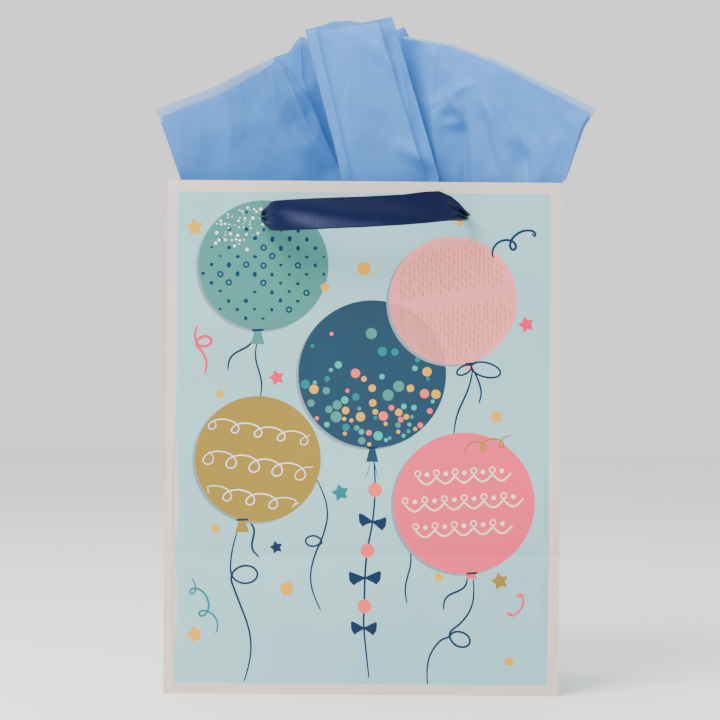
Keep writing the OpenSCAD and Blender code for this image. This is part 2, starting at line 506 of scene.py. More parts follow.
def inBalloon(name, x, z, margin):
    b = balloons[name]
    return math.hypot(x - b["at"][0], z - b["at"][1]) < b["radius"] - margin


def polkaPattern(art):
    b = balloons["teal"]
    pick = random.Random(3)
    for row in range(-9, 10):
        for column in range(-6, 7):
            x = b["at"][0] + column * 11.1 + (5.6 if row % 2 else 0)
            z = b["at"][1] + row * 5.7 + pick.uniform(-0.4, 0.4)
            if not inBalloon("teal", x, z, 2.2):
                continue
            kind = pick.random()
            if kind < 0.14:
                art.ring(x, z, 1.6, 1.1, "dot", 3, "teal")
            elif kind < 0.92:
                art.disc(x, z, pick.uniform(0.9, 1.5), "dot", 3, pick.choice((0.75, 1.0, 1.3)))
    flecks = []
    for _ in range(110):
        x = b["at"][0] - 18 + pick.gauss(0, 10)
        z = b["at"][1] + 26 + pick.gauss(0, 7.5)
        r = 0.35 + 0.85 * pick.random() ** 1.6
        apart = all(math.hypot(x - p[0], z - p[1]) > r + p[2] + 0.5 for p in flecks)
        if inBalloon("teal", x, z, 1.5) and apart:
            flecks.append((x, z, r))
            art.disc(x, z, r, "white", 4)


def dashPattern(art):
    # fine upright dashes in two slanting bands with a plain gap between them
    b = balloons["blush"]
    pick = random.Random(5)
    for column in range(-14, 15):
        for row in range(-9, 10):
            x = b["at"][0] + column * 2.8 + pick.uniform(-0.4, 0.4)
            z = b["at"][1] + row * 5.0 + (2.4 if column % 2 else 0) + column * 0.35
            level = z - b["at"][1] - column * 0.4
            if not inBalloon("blush", x, z, 3.2) or -3 < level < 5.5 or level > 33:
                continue
            if pick.random() < 0.92:
                art.fan([(x + 0.0, z - 2.0), (x + 0.6, z - 1.8), (x + 0.1, z + 2.0), (x - 0.5, z + 1.8)],
                        "thread", 7)


def confettiPattern(art):
    b = balloons["navy"]
    pick = random.Random(11)
    placed = []
    tries = 0
    while len(placed) < 70 and tries < 6000:
        tries += 1
        r = pick.choice((1.3, 1.8, 2.4, 3.0, 3.6))
        x = b["at"][0] + pick.uniform(-46, 46)
        z = b["at"][1] - 47 + abs(pick.gauss(0, 32))
        low = (z - b["at"][1]) / 47
        if not inBalloon("navy", x, z, r + 0.6) or low > pick.uniform(-0.75, 0.6):
            continue
        if inBalloon("blush", x, z, -r) or any(
                math.hypot(x - p[0], z - p[1]) < (r + p[2]) * 1.02 for p in placed):
            continue
        placed.append((x, z, r))
        art.disc(x, z, r, pick.choice(("mint", "teal", "sand", "sand", "peach", "aqua")), 4)


def loopPattern(art):
    # three curling lines that run across, sloping down to the right
    b = balloons["gold"]
    for row, (top, swing) in enumerate(((24, 3.8), (2, 4.8), (-20, 4.2))):
        route = []
        for i in range(70):
            t = i / 69
            x = -37 + 74 * t + (swing + 1.8) * math.sin(2 * math.pi * 5 * t + row)
            z = top - 12 * t + swing * math.cos(2 * math.pi * 5 * t + row)
            if inBalloon("gold", b["at"][0] + x, b["at"][1] + z, 1.5):
                route.append((b["at"][0] + x, b["at"][1] + z))
        if len(route) > 4:
            art.line(route, 0.75, "white", 4)


def garlandPattern(art):
    # plain scalloped garlands with small dots, in three rows
    b = balloons["coral"]
    for top, half in ((18, 30), (1, 38), (-16, 31)):
        drops = int(half / 6)
        step = 2 * half / drops
        for i in range(drops):
            x = b["at"][0] - half + step * i

            def garland(px, down):
                return b["at"][1] + top + 0.06 * (px - b["at"][0]) - down
            art.line([(x + step * t, garland(x + step * t, 4.6 * math.sin(math.pi * t)))
                      for t in (0, 0.2, 0.4, 0.6, 0.8, 1)], 1.1, "mist", 5, False)
            art.disc(x + step / 2, garland(x + step / 2, -1.6), 1.5, "mist", 5)
            art.ring(x, garland(x, -2.6), 1.8, 0.8, "mist", 5, "coral")


def balloonNeck(art, x, z, ink, wide, tall, level):
    top, foot = wide * 0.22, wide * 0.5
    art.fan([(x - top, z), (x + top, z), (x + foot, z - tall), (x - foot, z - tall)], ink, level)
    art.fan([(x - wide * 0.42, z - 0.8), (x + wide * 0.42, z - 0.4), (x + wide * 0.42, z + 1.0),
             (x - wide * 0.42, z + 0.6)], "line", level + 1)


def bowTie(art, x, z, half, level, tilt=0.0):
    # one wing: share of the half width, height over the middle
    wing = ((0.6, 3.2), (0.92, 4.4), (1, 3.2), (0.96, -1.4), (0.7, -4.6), (0.5, -3.2))
    for side in (-1, 1):
        outline = [(x + side * half * share, z + high - tilt * side) for share, high in wing]
        art.fan([(x, z + 0.5)] + outline + [(x, z - 0.5)], "line", level)


# strings hang from the necks: start, end, sway, share where it loops (0 for none), size of the loop, width
strings = [
    ((-68.5, 226), (-66, 191), -1.4, 0, 0, 1.2), ((-70, 234.6), (-87, 208), 3.0, 0, 0, 1.4),
    ((-80, 105), (-75, 8), -5.5, 0.27, 9, 1.4), ((-74, 112), (-66, 88), 2.5, 0, 0, 1.5),
    ((-29, 138), (-26, 54), 6, 0.45, -5.5, 1.3),
    ((70.5, 212), (58.5, 168), 1.2, 0, 0, 1.3), ((72, 75), (43, 7), 6, 0.5, 7.5, 1.4),
    ((68, 78), (53, 55), 3, 0, 0, 1.4), ((30.5, 96), (29.5, 59), 1.5, 0, 0, 1.2),
]
# the long garland string and what hangs on it
garland = [(7.5, 150), (8.3, 132), (6.8, 111.5), (3.6, 92.7), (2.2, 75.2), (2.0, 57), (1.8, 43), (5.3, 11)]
# ink, start, end, turns, size, phase, sway, width
curls = [
    ("line", (84, 284), (109, 300), 2.0, 4.4, 4.0, 1, 1.7),
    ("aqua", (-111, 73), (-93, 41), 2.4, 4.2, 0.0, 1, 1.4),
    ("gold", (66, 157), (95, 166), 2.6, 3.4, 3.0, 1, 1.3),
    ("rose", (104, 68), (97, 49), 1.6, 3.2, 1.0, 1, 1.2),
]
shadowShift = (-1.6, -1.2)  # the printed shadow beside each balloon
streamer = {"route": ((-107, 237), (-102, 205), -2.4, 0.3, 5.2), "width": 1.9}
stars = [(-109, 300, 6.2, "sand"), (-55.6, 203.6, 5.4, "rose"), (-14, 130, 6.0, "aqua"),
         (-55, 94.4, 4.6, "line"), (-107, 38, 6.0, "sand"), (86, 179.5, 5.2, "sand"),
         (104.7, 239, 5.6, "rose"), (89, 73.7, 6.0, "gold")]
dots = [(-25, 262, 2.8), (0, 274, 4.5), (61.6, 304.7, 2.6), (-91.7, 193, 2.8), (-94, 106, 2.9),
        (-48, 68, 4.5), (49.7, 76, 2.8), (95.5, 22, 2.9)]


def panelArt():
    art = Artwork()
    w, b, h = halfWidth / mm, bag["border"] / mm, rimHeight / mm
    art.fan([(b - w, b), (w - b, b), (w - b, h - b), (b - w, h - b)], "field", 0)
    for start, end, sway, loopAt, size, width in strings:
        art.line(stringRoute(start, end, sway, loopAt, size), width, "line", 0.6)
    art.line(garland, 1.4, "line", 0.6)
    for ink, b in balloons.items():
        x, z = b["at"]
        art.disc(x + shadowShift[0], z + shadowShift[1], b["radius"], "shadow", b["level"] - 0.7)
        art.disc(x, z, b["radius"], ink, b["level"])
    for pattern in (polkaPattern, dashPattern, confettiPattern, loopPattern, garlandPattern):
        pattern(art)
    balloonNeck(art, -68, 234, "teal", 9, 9, 2)
    balloonNeck(art, -77, 112, "gold", 9, 8, 3)
    balloonNeck(art, 6.3, 159, "navy", 8, 9, 3)
    balloonNeck(art, 71, 78.6, "coral", 8, 3.4, 4)
    balloonNeck(art, 69, 213.5, "blush", 8, 4, 6)
    art.fan(lensOutline("navy", "blush"), "blushDeep", 6)
    # the bow under the blush balloon: a small loop, a large one and a tail
    bowX, bowZ = 69.5, 212
    for reach, half, lean in ((-5.2, 2.6, 0.5), (9.6, 4.6, -0.24)):
        c, s = math.cos(lean), math.sin(lean)
        loop = [(reach + reach * math.cos(a), half * math.sin(a)) for a in np.linspace(math.pi, -math.pi, 17)]
        art.line([(bowX + x * c - z * s, bowZ + x * s + z * c) for x, z in loop], 1.3, "line", 8, False)
    art.line([(70, 211), (74, 203), (76, 195), (74.5, 188)], 1.3, "line", 8)
    # two loose threads below the navy neck
    for side in (-1, 1):
        art.line([(6.3 + away * side, z) for away, z in ((1.5, 150), (2.4, 145), (4.4, 139))], 0.5, "line", 3)
    for x, z in garland[1:6:2]:
        art.disc(x, z, 4.6, "peach", 2)
    for (x, z), half, tilt in zip(garland[2:7:2], (9, 10.5, 8.5), (1.2, -0.3, 0.2)):
        bowTie(art, x, z, half, 3, tilt)
    art.line(stringRoute(*streamer["route"]), streamer["width"], "rose", 7)
    for x, z, r, ink in stars:
        art.star(x, z, r, ink, 3, -18 + z % 7)
    for x, z, r in dots:
        art.disc(x, z, r, "sand", 4)
    for ink, start, end, loops, size, phase, sway, width in curls:
        art.line(curlRoute(start, end, loops, size, phase, sway), width, ink, 7)
    return art


def sideArt(seed):
    # the sides carry loose confetti only
    art = Artwork()
    w, b, h = halfDepth / mm, bag["border"] / mm, rimHeight / mm
    art.fan([(b - w, b), (w - b, b), (w - b, h - b), (b - w, h - b)], "field", 0)
    pick = random.Random(seed)
    for k in range(17):
        y = pick.uniform(8, 46) * (1 if k % 2 else -1)
        z = 18 + k * 17.5 + pick.uniform(-4, 4)
        if k % 3 == 0:
            art.star(y, z, pick.uniform(4, 5.5), pick.choice(("sand", "rose", "aqua", "line")), 1,
                     pick.uniform(-20, 30))
        elif k % 3 == 1:
            art.disc(y, z, pick.uniform(2.4, 4.4), pick.choice(("sand", "peach", "mint")), 1)
        else:
            art.line(curlRoute((y - 3, z - 8), (y + 3, z + 8), 1.6, 3.2, 1.0), 1.2,
                     pick.choice(("line", "aqua", "rose")), 1)
    return art


# the bag's own surfaces

def foldDip(z, line, depth, up, down):
    away = z - line
    return depth * math.exp(-abs(away) / (up if away > 0 else down))


def panelDepth(x, z, seed=0):
    # how far the panel lies behind its flat plane; the card keeps the hem straight
    free = min(1.0, max(0.0, (rimHeight - bag["hem"] - z) / (60 * mm)))
    side = math.cos(0.5 * math.pi * min(1.0, abs(x) / halfWidth))
    depth = foldDip(z, bag["crease"], bag["creaseDepth"], 12 * mm, 16 * mm)
    depth += foldDip(z, bag["faintCrease"], 0.35 * mm, 9 * mm, 9 * mm)
    depth += 0.35 * mm * wave(x, z, seed) * (0.3 + 0.7 * side) * free
    depth -= bag["bulge"] * side * math.sin(math.pi * min(1.0, z / rimHeight)) * free
    return depth * min(1.0, z / (25 * mm))


def panelPoint(x, z, seed=0):
    # the corner folds are pressed out a little where the cross fold meets them
    push = foldDip(z, bag["crease"], 0.7 * mm, 5 * mm, 5 * mm)
    return (x + push * (x / halfWidth) ** 5, -halfDepth + panelDepth(x, z, seed), z)


def tuckIn(y, z):
    # the side crease: nothing at its foot, all of it at the rim
    rise = max(0.0, (z - halfDepth) / (rimHeight - halfDepth))
    near = 1 - abs(y) / halfDepth
    tuck = bag["tuck"] * rise * near * (1.15 - 0.15 * near)
    if z < halfDepth:
        # diagonal folds of the base, from the crease's foot to the bottom corners
        away = abs((halfDepth - z) - abs(y)) * 0.707
        tuck += 0.5 * mm * math.exp(-away / (5 * mm)) * min(1.0, z / (12 * mm)) * min(1.0, near * 6)
    return tuck


def sidePoint(y, z, seed=0, lift=0.0):
    end = abs(y) / halfDepth
    corner = panelPoint(halfWidth, z, seed)
    ripple = 0.3 * mm * wave(y, z, seed + 3) * (1 - end ** 2) * min(1.0, z / (30 * mm))
    shift = (corner[1] + halfDepth) * end ** 6
    if y > 0:
        shift = -shift - 0.35 * mm * end ** 6  # the far edge goes inside the other sheet
    return (corner[0] - tuckIn(y, z) + ripple + lift, y + shift, z)


def levels(low, high, step, extra=()):
    count = max(2, int(round((high - low) / step)) + 1)
    kept = [float(v) for v in np.linspace(low, high, count)]
    for e in extra:
        if low < e < high:
            kept = [v for v in kept if abs(v - e) > 0.35 * step or v in (kept[0], kept[-1])] + [e]
            kept.sort()
    return kept


def cutPatch(us, vs, creases, art):
    # triangles of a flat patch, in millimetres, with every printed outline as real edges
    spots, index = [], {}

    def spot(u, v):
        key = (round(u, 4), round(v, 4))
        if key not in index:
            index[key] = len(spots)
            spots.append(Vector((u, v)))
        return index[key]
    us, vs = [u / mm for u in us], [v / mm for v in vs]
    for v in vs:
        for u in us:
            spot(u, v)
    rim = [spot(u, vs[0]) for u in us] + [spot(us[-1], v) for v in vs[1:]]
    rim += [spot(u, vs[-1]) for u in us[-2::-1]] + [spot(us[0], v) for v in vs[-2:0:-1]]
    edges = []
    for (au, av), (bu, bv) in creases:
        edges.append((spot(au / mm, av / mm), spot(bu / mm, bv / mm)))
    outlines = [[spot(u, v) for u, v in outline] for outline, ink, level in art.shapes]
    for outline in outlines:
        edges += [pair for pair in zip(outline, outline[1:] + outline[:1]) if pair[0] != pair[1]]
    found = mathutils.geometry.delaunay_2d_cdt(spots, edges, [rim], 1, 1e-5)
    flat = np.array([p[:] for p in found[0]])
    middles = np.array([flat[list(t)].mean(axis=0) for t in found[2]])
    inkIndex = np.full(len(middles), inkOrder.index("border"))
    for outline, ink, level in sorted(art.shapes, key=lambda shape: shape[2]):
        inkIndex[insideOutline(middles, np.array(outline))] = inkOrder.index(ink)
    return flat * mm, found[2], inkIndex.tolist()


def insideOutline(points, outline):
    # which points lie inside a closed outline, by counting crossings
    near = np.all((points > outline.min(axis=0)) & (points < outline.max(axis=0)), axis=1)
    x, z = points[near].T
    odd = np.zeros(len(x), bool)
    for (ax, az), (bx, bz) in zip(outline, np.roll(outline, -1, axis=0)):
        if az != bz:
            crossing = (az > z) != (bz > z)
            odd ^= crossing & (x < (bx - ax) * (z - az) / (bz - az) + ax)
    near[near] = odd
    return near


def makeBagSheet(name, isBack):
    seed = 5 if isBack else 0
    vertices, faces, shades = [], [], []

    def patch(rowsOfPoints, flip=False):
        start = len(vertices)
        for row in rowsOfPoints:
            vertices.extend(row)
        made = gridFaces(len(rowsOfPoints), len(rowsOfPoints[0]), start, flip)
        faces.extend(made)
        shades.extend([0] * len(made))

    def printedPatch(us, vs, creases, art, place):
        start = len(vertices)
        flat, triangles, inkIndex = cutPatch(us, vs, creases, art)
        vertices.extend(place(u, v) for u, v in flat)
        faces.extend(tuple(start + i for i in t) for t in triangles)
        shades.extend(inkIndex)

    foldLines = (bag["crease"], bag["faintCrease"])
    zs = levels(0, rimHeight, 4 * mm, foldLines + (halfDepth,))
    xs = levels(-halfWidth, halfWidth, 5 * mm)
    ys = levels(-halfDepth, halfDepth, 4 * mm, (0.0,))
    printedPatch(xs, zs, [((-halfWidth, z), (halfWidth, z)) for z in foldLines], panelArt(),
                 lambda x, z: panelPoint(x, z, seed))
    foot = (0.0, halfDepth)
    printedPatch(ys, zs, [(foot, (0.0, rimHeight)), (foot, (-halfDepth, 0.0)), (foot, (halfDepth, 0.0)),
                          ((-halfDepth, bag["crease"]), (halfDepth, bag["crease"]))],
                 sideArt(20 + seed), lambda y, z: sidePoint(y, z, seed))

    # the hem turns over the rim and runs down inside, behind the card
    hemZs = levels(rimHeight - bag["hem"], rimHeight, 5 * mm)[::-1]
    edge = 1.2 * mm

    def inside(x):
        return min(max(x, -halfWidth + edge), halfWidth - edge)
    rows = [[panelPoint(x, rimHeight, seed) for x in xs]]
    for back, up in ((0.35 * mm, 0.25 * mm), (bag["hemGap"] * 0.6, 0.35 * mm)):
        rows.append([(inside(x), -halfDepth + back, rimHeight + up) for x in xs])
    for z in hemZs:
        rows.append([(inside(x), -halfDepth + bag["hemGap"] + 0.12 * mm * (1 + wave(x, z, seed + 8)), z)
                     for x in xs])
    patch(rows)
    innerYs = [min(max(y, -halfDepth + 2.2 * mm), halfDepth - 2.2 * mm) for y in ys]
    rows = [[sidePoint(y, rimHeight, seed) for y in ys]]
    rows.append([(p[0] - 0.35 * mm, p[1], p[2] + 0.25 * mm) for p in rows[0]])
    for z in hemZs:
        rows.append([sidePoint(y, z, seed, -0.9 * mm) for y in innerYs])
    patch(rows)

    # bottom flaps and the glued strip
    layer = 0.1 * mm if isBack else 0.45 * mm
    rows = [[panelPoint(x, 0, seed) for x in xs]]
    for reach in np.linspace(2 * mm, bag["longFlap"], 12):
        rows.append([(max(-halfWidth + 0.6 * mm, min(halfWidth - 0.6 * mm, x)), -halfDepth + reach, layer)
                     for x in xs])
    patch(rows, True)
    rows = [[sidePoint(y, 0, seed) for y in ys]]
    for reach in np.linspace(2 * mm, bag["sideFlap"], 9):
        narrow = 1 - 0.5 * reach / bag["sideFlap"]
        rows.append([(halfWidth - reach, y * narrow, 0.85 * mm) for y in ys])
    patch(rows, True)
    rows = []
    for z in zs:
        if 1.5 * mm < z < rimHeight - bag["hem"] - 1 * mm:
            corner = sidePoint(halfDepth, z, seed)
            rows.append([corner] + [(corner[0] - a, corner[1] - 0.25 * mm, z)
                                    for a in (0.8 * mm, 9 * mm, bag["glueStrip"])])
    patch(rows)

    if isBack:
        vertices = [(-x, -y, z) for x, y, z in vertices]
    piece = makeObject(name, vertices, faces, [inks[k] for k in inkOrder] + [plainPaper], shades)
    work = bmesh.new()
    work.from_mesh(piece.data)
    bmesh.ops.remove_doubles(work, verts=work.verts, dist=0.02 * mm)
    for e in work.edges:
        if len(e.link_faces) == 2:
            low, high = sorted(v.co.z for v in e.verts)
            onCrease = high - low < 0.01 * mm and abs(low - bag["crease"]) < 0.1 * mm
            middle = all(abs(v.co.y) < 0.1 * mm and v.co.z > halfDepth - 0.1 * mm for v in e.verts)
            e.smooth = not (e.calc_face_angle(0) > math.radians(24) or onCrease or middle)
    work.to_mesh(piece.data)
    work.free()
    thicken(piece, bag["paper"], -1.0, 99)
    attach(piece, "bag")
    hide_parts("back_sheet" if isBack else "front_sheet")
    return piece


for name, isBack in (("frontSheet", False), ("backSheet", True)):
    made = makeBagSheet(name, isBack)
    print(name, "has", len(made.data.polygons), "faces")

for node in ("front_cuff_card", "back_cuff_card", "base_card"):
    mesh = frame["nodes"][node].data
    mesh.materials.clear()
    mesh.materials.append(greyCard)
print("cards finished")


# ribbon handles

ribbonLow = np.array(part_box("front_ribbon")[0], float)
ribbon = {
    "halfSpan": 65 * mm,       # from the middle to a hole
    "hinge": np.array(joints["front_handle_swing"]["pos_m"], float),
    "reach": -ribbonLow[1] - 66.5 * mm,
    "power": 0.8,
    "thickness": 0.32 * mm,
    "neck": 2.1 * mm,
    "knot": 5.5 * mm,
    "across": 29,
    # edges of the band over the hole height, from the left hole to the right one
    "keys": ((-65, 1.2, -3.4), (-64, 3.4, -6.2), (-62.3, 5.4, -8.8), (-60, 7.2, -10.3), (-57, 8.1, -11.0),
             (-50, 8.5, -11.2), (-30, 9.2, -10.5), (0, 10.3, -9.0), (24, 11.8, -7.3), (38, 14.0, -6.0),
             (47, 14.6, -4.8), (54, 11.5, -3.9), (59, 7.4, -3.6), (63, 3.0, -3.6), (65, 1.3, -2.4)),
}


def edgeHeights(x):
    keys = ribbon["keys"]
    xs = [k[0] * mm for k in keys]
    return tuple(float(np.interp(x, xs, [k[i] * mm for k in keys])) for i in (1, 2))


def ribbonRows():
    # the neck comes straight out of the hole, the band runs round the loop, and goes back in
    holeZ = ribbon["hinge"][2]
    hingeY = ribbon["hinge"][1]
    rows = []
    across = np.linspace(-1, 1, ribbon["across"])
    neckYs = np.linspace(-halfDepth + 3.4 * mm, hingeY, 6)[:-1]

    def neckRow(x, y):
        return [(x + 0.95 * ribbon["neck"] * math.cos(2.9 * math.pi * w) * (0.55 + 0.45 * abs(w)), y,
                 holeZ + ribbon["neck"] * w * 0.9) for w in across]
    for y in neckYs:
        rows.append(neckRow(-ribbon["halfSpan"], y))
    count = 96
    for i in range(count + 1):
        angle = math.pi * (1 - i / count)
        c, s = math.cos(angle), math.sin(angle)
        x = ribbon["halfSpan"] * math.copysign(abs(c) ** ribbon["power"], c)
        y = hingeY - ribbon["reach"] * abs(s) ** ribbon["power"]
        top, bottom = edgeHeights(x)
        step = 1e-3
        a2 = angle - step
        c2, s2 = math.cos(a2), math.sin(a2)
        dx = ribbon["halfSpan"] * math.copysign(abs(c2) ** ribbon["power"], c2) - x
        dy = hingeY - ribbon["reach"] * abs(s2) ** ribbon["power"] - y
        long = math.hypot(dx, dy) or 1
        nx, ny = dy / long, -dx / long
        if ny > 0:
            nx, ny = -nx, -ny
        fromLeft = math.exp(-(x + ribbon["halfSpan"]) / (4.0 * mm))
        fromRight = math.exp(-(ribbon["halfSpan"] - x) / (8.0 * mm))
        gather = max(fromLeft, fromRight)
        row = []
        for w in across:
            z = holeZ + (top + bottom) / 2 + (top - bottom) / 2 * w
            pleat = 0.95 * ribbon["neck"] * gather * math.cos(2.9 * math.pi * w) * (0.55 + 0.45 * abs(w))
            cup = 0.8 * mm * (1 - gather) * (w * w - 0.3)
            ease = 1.1 * mm * math.sin(11 * i / count + 2.4 * w) * (1 - gather) * s
            # towards the right hole the upper edge folds over to the front
            turn = max(0.0, min(1.0, (x - 38 * mm) / (24 * mm)))
            curl = 3.0 * mm * turn * max(0.0, w) ** 2
            out = pleat + cup + ease + curl
            row.append((x + nx * out, y + ny * out, z))
        rows.append(row)
    for y in neckYs[::-1]:
        rows.append(neckRow(ribbon["halfSpan"], y))
    return rows


def makeRibbon(name, body, isBack):
    rows = ribbonRows()
    vertices = [p for row in rows for p in row]
    if isBack:
        vertices = [(-x, -y, z) for x, y, z in vertices]
    faces = gridFaces(len(rows), ribbon["across"])
    piece = makeObject(name, vertices, faces, [satin])
    layer = piece.data.uv_layers.new(name="ribbonLength")
    for loop in piece.data.loops:
        row, column = divmod(loop.vertex_index, ribbon["across"])
        layer.data[loop.index].uv = (row / (len(rows) - 1), column / (ribbon["across"] - 1))
    thicken(piece, ribbon["thickness"], 0.0)
    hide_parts(body.replace("handle", "ribbon"))
    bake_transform(piece)
    return piece


def makeKnots(name, isBack):
    # a tight overhand knot behind the hem at each hole, with two cut tails
    vertices, faces, uvs = [], [], []
    hole = ribbon["hinge"][2]
    centreY = -halfDepth + 2.4 * mm + ribbon["knot"]

    def band(rowsOfPoints):
        start = len(vertices)
        for i, row in enumerate(rowsOfPoints):
            vertices.extend(row)
            uvs.extend((i / len(rowsOfPoints), j / (len(row) - 1)) for j in range(len(row)))
        faces.extend(gridFaces(len(rowsOfPoints), len(rowsOfPoints[0]), start))

    for side in (-1, 1):
        x0 = side * ribbon["halfSpan"]
        # the two crossed wraps of the knot: swollen bands round a core
        for tilt, swell in ((35, 1.0), (-40, 0.93)):
            rows = []
            for i in range(41):
                a = 2 * math.pi * i / 40
                row = []
                for j in range(11):
                    w = -1 + 2 * j / 10
                    r = ribbon["knot"] * swell * math.cos(0.95 * w) * (0.9 + 0.05 * math.cos(3 * a))
                    h = ribbon["knot"] * 0.78 * math.sin(0.95 * w)
                    p = (r * math.cos(a), r * math.sin(a) * 0.98, h)
                    t = math.radians(tilt)
                    pleat = 0.16 * mm * math.sin(9 * w + a)
                    x = p[0] * math.cos(t) - p[2] * math.sin(t)
                    z = p[0] * math.sin(t) + p[2] * math.cos(t)
                    row.append((x0 + x * 0.82 + pleat, centreY + p[1] * 0.86, hole + z * 0.9))
                rows.append(row)
            band(rows)
        for k, lean in enumerate((-0.35, 0.45)):
            rows = []
            for i in range(15):
                t = i / 14
                half = (2.0 + 6.0 * min(1.0, t * 2.2) ** 1.2) * mm
                row = []
                for j in range(13):
                    w = -1 + 2 * j / 12
                    pleat = 1.3 * mm * (1 - t) ** 2 * math.cos(3 * math.pi * w)
                    cut = 2.5 * mm * w * t if i == 14 else 0
                    row.append((x0 + lean * 22 * mm * t + half * w,
                                centreY + (1.2 + 2.0 * k) * mm + pleat + 1.5 * mm * math.sin(3 * t),
                                hole - 3 * mm - 21 * mm * t - cut))
                rows.append(row)
            band(rows)
    if isBack:
        vertices = [(-x, -y, z) for x, y, z in vertices]
    piece = makeObject(name, vertices, faces, [satin])
    layer = piece.data.uv_layers.new(name="ribbonLength")
    for loop in piece.data.loops:
        layer.data[loop.index].uv = uvs[loop.vertex_index]
    thicken(piece, ribbon["thickness"], 0.0)
    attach(piece, "bag")
    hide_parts("back_ribbon_ends" if isBack else "front_ribbon_ends")
    return piece


makeRibbon("frontRibbon", "front_handle", False)
makeRibbon("backRibbon", "back_handle", True)
makeKnots("frontKnots", False)
makeKnots("backKnots", True)
print("ribbons tied")


# tissue: each sheet is folded once and fanned out over the rim

tissue = {
    "pivotY": -8 * mm,
    "fan": math.radians(20),
    "foot": 3.2 * mm,
    "gap": 0.5,              # half the space between the two layers, in millimetres
    "across": 92,
    "up": 116,
    "rimRow": 333,           # rows are level up to this height, in millimetres
    "rimShare": 0.77,        # share of the rows below it
    "turns": (329.5, 330.9),  # extra rows where a sheet bends out over the rim
}


def along(keys, value):
    # value looked up in a short list of (position, value) pairs
    return float(np.interp(value, [k[0] for k in keys], [k[1] for k in keys]))


def creaseHeight(spec, x, z):
    # folds along short lines: ridges, rounded humps, pleats with a steep side and facets that drop away
    total = 0.0
    for (fx, fz), (tx, tz), kind, width, height in spec["creases"]:
        ax, az = tx - fx, tz - fz
        long = math.hypot(ax, az)
        s = ((x - fx) * ax + (z - fz) * az) / long
        away = ((x - fx) * az - (z - fz) * ax) / long
        ends = min(1.0, max(0.0, (s + 8) / 16)) * min(1.0, max(0.0, (long + 8 - s) / 16))
        if kind == "ridge":
            total += height * ends * math.exp(-abs(away) / width)
        elif kind == "pleat":
            slope = min(1.0, max(0.0, 1 + away / width))
            total -= height * ends * slope * min(1.0, max(0.0, 1 - away / 4.0))
        elif kind == "drop":
            total -= height * ends * min(1.0, max(0.0, away / width))
        elif kind == "fold":
            total += height * ends * math.exp(-away / width if away > 0 else away / 1.6)
        else:
            total += height * ends * math.exp(-(away / width) ** 2)
    return total


def crumple(seed, x, z):
    # a web of sharp little creases at three sizes
    total = 0.0
    for size, height, shift in ((42, 4.2, 0), (19, 1.9, 31), (9, 0.8, 57)):
        n = mathutils.noise.noise(Vector((x / size + shift + seed, z / (size * 1.25) - shift, seed * 1.3)))
        total += height * (0.28 - abs(n))
    return total


def tissueLayer(spec, layer):
    # rows from the foot to the top edge, level up to just over the rim, then following the top edge
    foot, rim, share = tissue["foot"] / mm, tissue["rimRow"], tissue["rimShare"]
    count = tissue["up"] - len(tissue["turns"])
    shares = [1 - (1 - i / (count - 1)) ** 1.7 for i in range(count)]
    shares = sorted(shares + [share * (turn - foot) / (rim - foot) for turn in tissue["turns"]])
    rows = []
    for v in shares:
        row = []
        for j in range(tissue["across"]):
            u = j / (tissue["across"] - 1)
            if v < share:
                z = foot + (rim - foot) * v / share
            else:
                z = rim + (along(spec["top"][layer], u) - rim) * (v - share) / (1 - share)
            x = along(spec["left"][layer], z) * (1 - u) + along(spec["right"][layer], z) * u
            row.append((x, z, u))
        rows.append(row)
    return rows


def makeTissue(name, body, node, spec, place):
    vertices, faces, shades = [], [], []
    for layer, side in ((0, -1), (1, 1)):
        rows = tissueLayer(spec, layer)
        start = len(vertices)
        for row in rows:
            for x, z, u in row:
                free = min(1.0, max(0.0, (z - 300) / 60))
                out = creaseHeight(spec, x, z)
                out += crumple(spec["seed"], x, z) * (0.25 + 0.75 * free) * spec["crumple"]
                swell = wave(x * mm * 1.6, z * mm * 1.3, spec["seed"] + 7 * layer)
                out += spec["wave"] * swell * min(1.0, z / 200)
                fromFold = (1 - u) if spec["foldSide"] == "right" else u
                opening = free * min(1.0, 3 * fromFold) * max(0.0, (z - 330) / 100)
                gap = tissue["gap"] + spec["spread"] * opening
                vertices.append(place(x, z, -out + side * gap))
        made = gridFaces(len(rows), len(rows[0]), start, side > 0)
        faces.extend(made)
        # the back layer is painted paler and thinner where it stands out past the front one: painted light
        # showing through the single sheet
        for row in rows[:-1]:
            for x, z, u in row[:-1]:
                near = z > along(spec["top"][layer], u) - spec["strip"] and u < spec["stripEnd"]
                shades.append(1 if layer == 1 and near else 0)
    # the folded edge joins the two layers
    fold = tissue["across"] - 1 if spec["foldSide"] == "right" else 0
    layerSize = tissue["across"] * tissue["up"]
    for i in range(tissue["up"] - 1):
        a = i * tissue["across"] + fold
        b = a + tissue["across"]
        if min(vertices[b][2], vertices[layerSize + b][2]) > spec["joined"] * mm:
            continue
        quad = (a, layerSize + a, layerSize + b, b)
        faces.append(quad if spec["foldSide"] == "right" else quad[::-1])
        shades.append(0)
    piece = makeObject(name, vertices, faces, [tissueBlue, tissuePaintedBacklight], shades)
    thicken(piece, 0.06 * mm, 0.0)
    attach(piece, body)
    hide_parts(node)
    return piece


def fanned(direction):
    # a sheet turned about an upright line, its outer edge coming forward
    c, s = math.cos(tissue["fan"] * direction), math.sin(tissue["fan"] * direction)

    def place(x, z, d):
        px, py = x * mm, d * mm
        return (px * c - py * s, tissue["pivotY"] + px * s + py * c, z * mm)
    return place


def straight(y):
    return lambda x, z, d: (x * mm, y + d * mm, z * mm)
